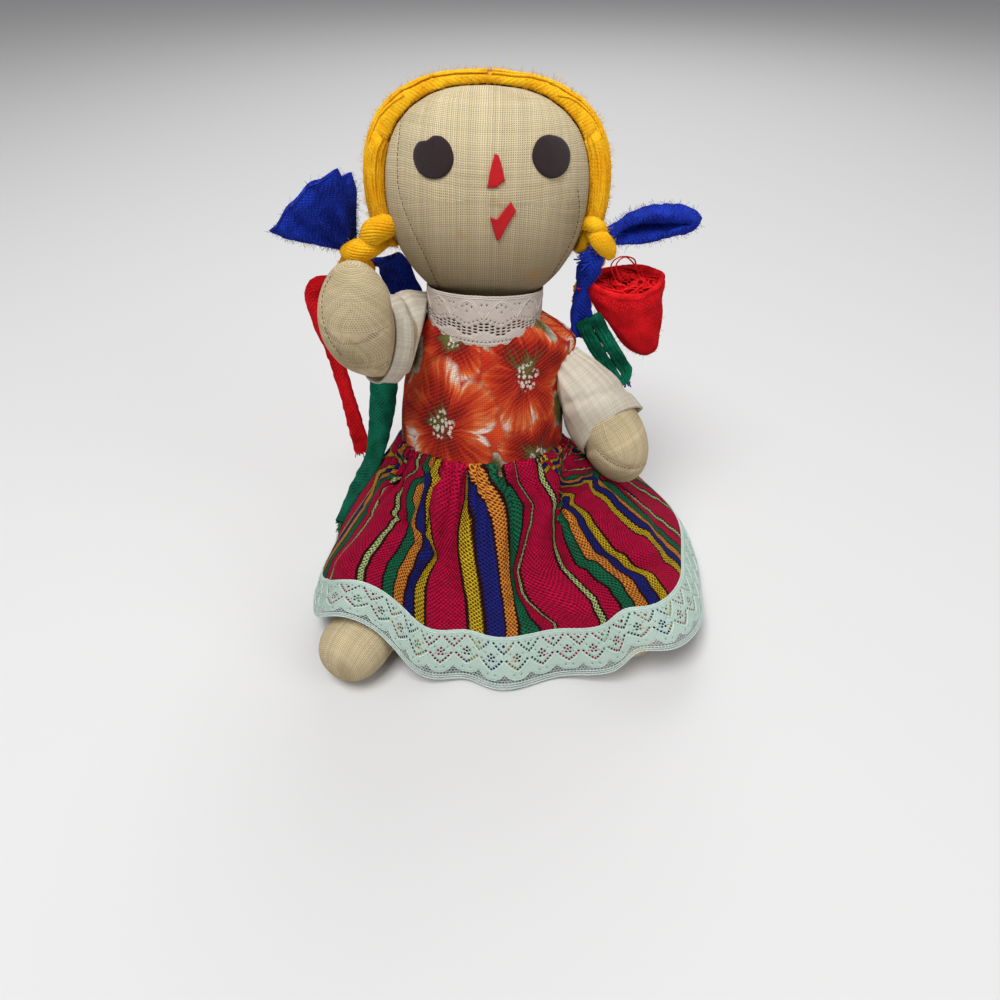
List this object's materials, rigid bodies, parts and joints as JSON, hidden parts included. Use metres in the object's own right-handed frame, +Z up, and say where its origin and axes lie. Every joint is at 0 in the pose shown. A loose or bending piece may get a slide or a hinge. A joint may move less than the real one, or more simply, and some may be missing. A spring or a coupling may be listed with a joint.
{
  "type": "rag doll",
  "caption": "Sitting rag doll of stuffed muslin with yarn braids, ribbons, printed blouse, lace collar and striped lace-hemmed skirt; arms, legs and braids swing.",
  "frame": {"origin": "middle of the seat's flat underside, on the surface that the doll sits on", "axes": "+Z up, the doll faces -Y, its right side is towards -X and its left side towards +X"},
  "size_m": [0.2143, 0.1776, 0.2358],
  "materials": {
    "muslin": "open plain-weave muslin, unbleached",
    "stuffing": "loose cotton fibre",
    "felt_brown": "dark brown felt",
    "felt_red": "red felt",
    "yarn_gold": "golden yellow yarn",
    "thread_dark": "dark sewing thread",
    "ribbon_blue": "navy and blue knitted ribbon",
    "ribbon_red": "red knitted ribbon",
    "ribbon_green": "dark green knitted ribbon",
    "blouse_print": "printed cotton, orange-red blossoms and dark green leaves",
    "cotton_white": "white cotton, slightly yellowed",
    "lace_ivory": "ivory lace",
    "skirt_stripes": "thick striped serape weave, crimson with bright stripes",
    "lace_mint": "pale mint lace"
  },
  "bodies": {
    "root": {"head_front_panel": "muslin", "head_back_panel": "muslin", "head_stuffing": "stuffing", "felt_eye_right": "felt_brown", "felt_eye_left": "felt_brown", "felt_nose": "felt_red", "felt_mouth": "felt_red", "hair_cap": "yarn_gold", "parting_thread": "thread_dark", "right_hair_knot": "yarn_gold", "left_hair_knot": "yarn_gold", "right_blue_bow": "ribbon_blue", "left_blue_bow": "ribbon_blue", "torso_front_panel": "muslin", "torso_back_panel": "muslin", "torso_stuffing": "stuffing", "bodice_front_panel": "blouse_print", "bodice_back_panel": "blouse_print", "neck_lace": "lace_ivory", "skirt": "skirt_stripes", "hem_lace": "lace_mint"},
    "right_arm": {"right_arm_inner_panel": "muslin", "right_arm_outer_panel": "muslin", "right_arm_stuffing": "stuffing", "right_sleeve": "cotton_white"},
    "left_arm": {"left_arm_inner_panel": "muslin", "left_arm_outer_panel": "muslin", "left_arm_stuffing": "stuffing", "left_sleeve": "cotton_white"},
    "right_leg": {"right_leg_upper_panel": "muslin", "right_leg_lower_panel": "muslin", "right_leg_stuffing": "stuffing"},
    "left_leg": {"left_leg_upper_panel": "muslin", "left_leg_lower_panel": "muslin", "left_leg_stuffing": "stuffing"},
    "right_braid_group": {"right_braid": "yarn_gold", "right_blue_tail": "ribbon_blue", "right_red_ribbon": "ribbon_red", "right_green_ribbon": "ribbon_green"},
    "left_braid_group": {"left_braid": "yarn_gold", "left_blue_tail": "ribbon_blue", "left_red_ribbon": "ribbon_red", "left_green_ribbon": "ribbon_green"}
  },
  "joints": [
    {"name": "right_shoulder", "type": "hinge", "parent": "root", "child": "right_arm", "pos_m": [-0.02693, 0.0352, 0.13233], "axis": [0.9688, -0.056, -0.2413], "range_deg": [-10, 70]},
    {"name": "left_shoulder", "type": "hinge", "parent": "root", "child": "left_arm", "pos_m": [0.03564, 0.0352, 0.13026], "axis": [0.9827, 0.056, 0.1766], "range_deg": [-90, 0]},
    {"name": "right_hip", "type": "hinge", "parent": "root", "child": "right_leg", "pos_m": [-0.021, -0.002, 0.017], "axis": [1, 0, 0], "range_deg": [0, 75]},
    {"name": "left_hip", "type": "hinge", "parent": "root", "child": "left_leg", "pos_m": [0.021, -0.002, 0.017], "axis": [1, 0, 0], "range_deg": [0, 75]},
    {"name": "right_braid_swing", "type": "hinge", "parent": "root", "child": "right_braid_group", "pos_m": [-0.05163, 0.04478, 0.15769], "axis": [0, 1, 0], "range_deg": [0, 30]},
    {"name": "left_braid_swing", "type": "hinge", "parent": "root", "child": "left_braid_group", "pos_m": [0.05591, 0.04635, 0.15996], "axis": [0, -1, 0], "range_deg": [0, 20]}
  ]
}
